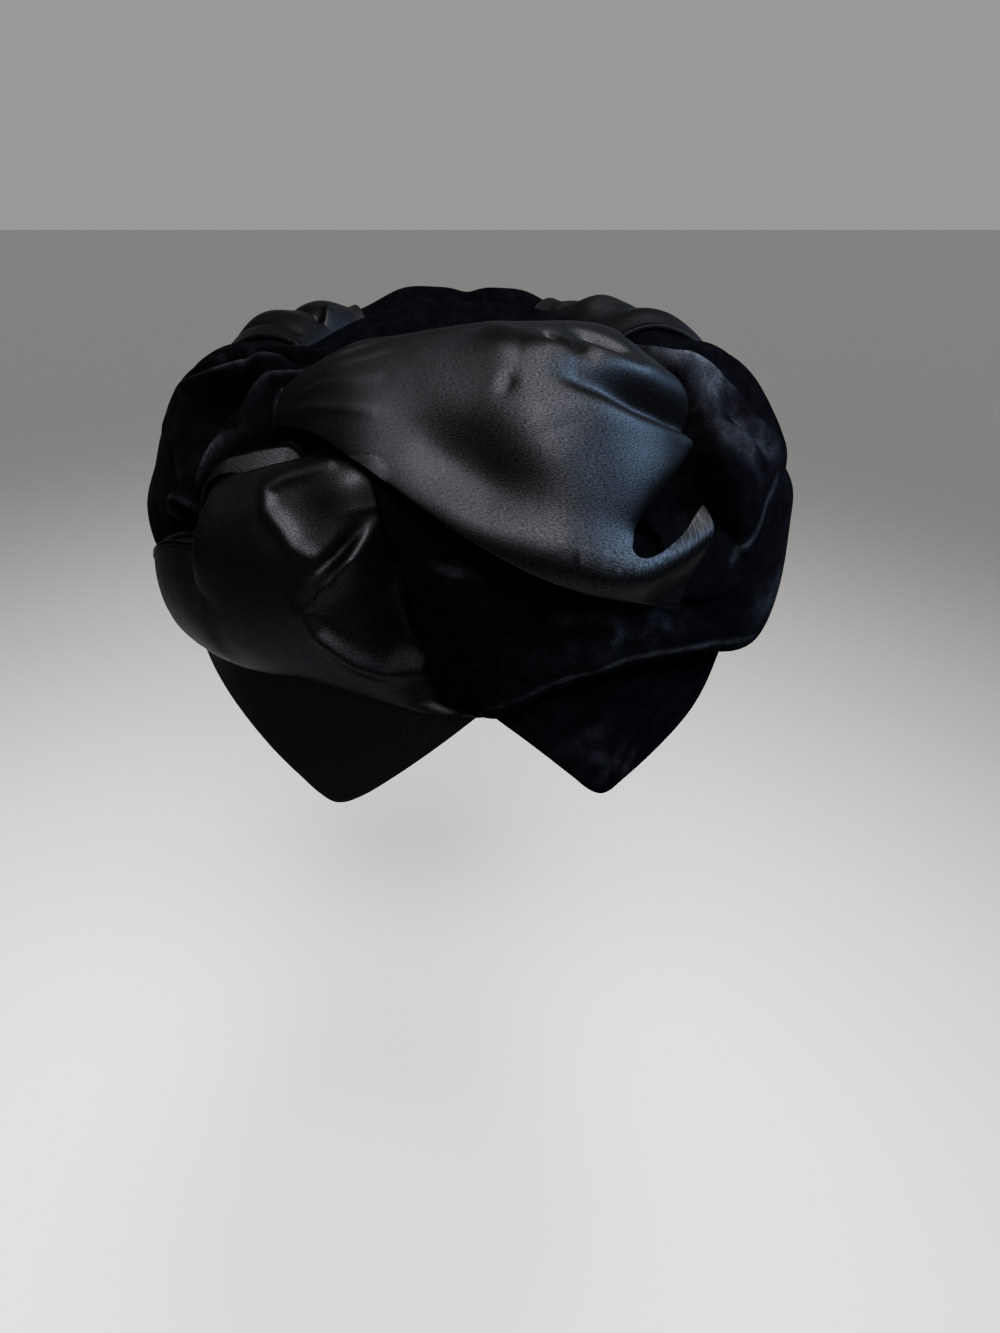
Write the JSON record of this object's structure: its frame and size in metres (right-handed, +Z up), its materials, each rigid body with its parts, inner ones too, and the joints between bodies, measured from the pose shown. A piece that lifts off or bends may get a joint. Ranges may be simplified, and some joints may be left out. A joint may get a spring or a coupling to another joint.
{
  "type": "draped bonnet hat",
  "caption": "Close-fitting bonnet hat draped in black satin and black velvet, with a diagonal satin loop across the front and pointed flaps below the rim.",
  "frame": {"origin": "middle of the head opening, level with the rim, where the hat sits on the head", "axes": "+Z up, -Y the front of the hat, +X to the right of someone who faces its front"},
  "size_m": [0.1833, 0.2287, 0.1106],
  "materials": {
    "satin": "black satin with a soft shine",
    "velvet": "black velvet with a crushed pile"
  },
  "bodies": {
    "root": {"crown": "velvet", "satin_lappet": "satin", "velvet_lappet": "velvet", "satin_wing": "satin", "velvet_wing": "velvet", "velvet_side_left": "velvet", "velvet_side_right": "velvet", "velvet_back": "velvet", "satin_back_right": "satin", "satin_back_left": "satin", "satin_drape": "satin"}
  },
  "joints": []
}
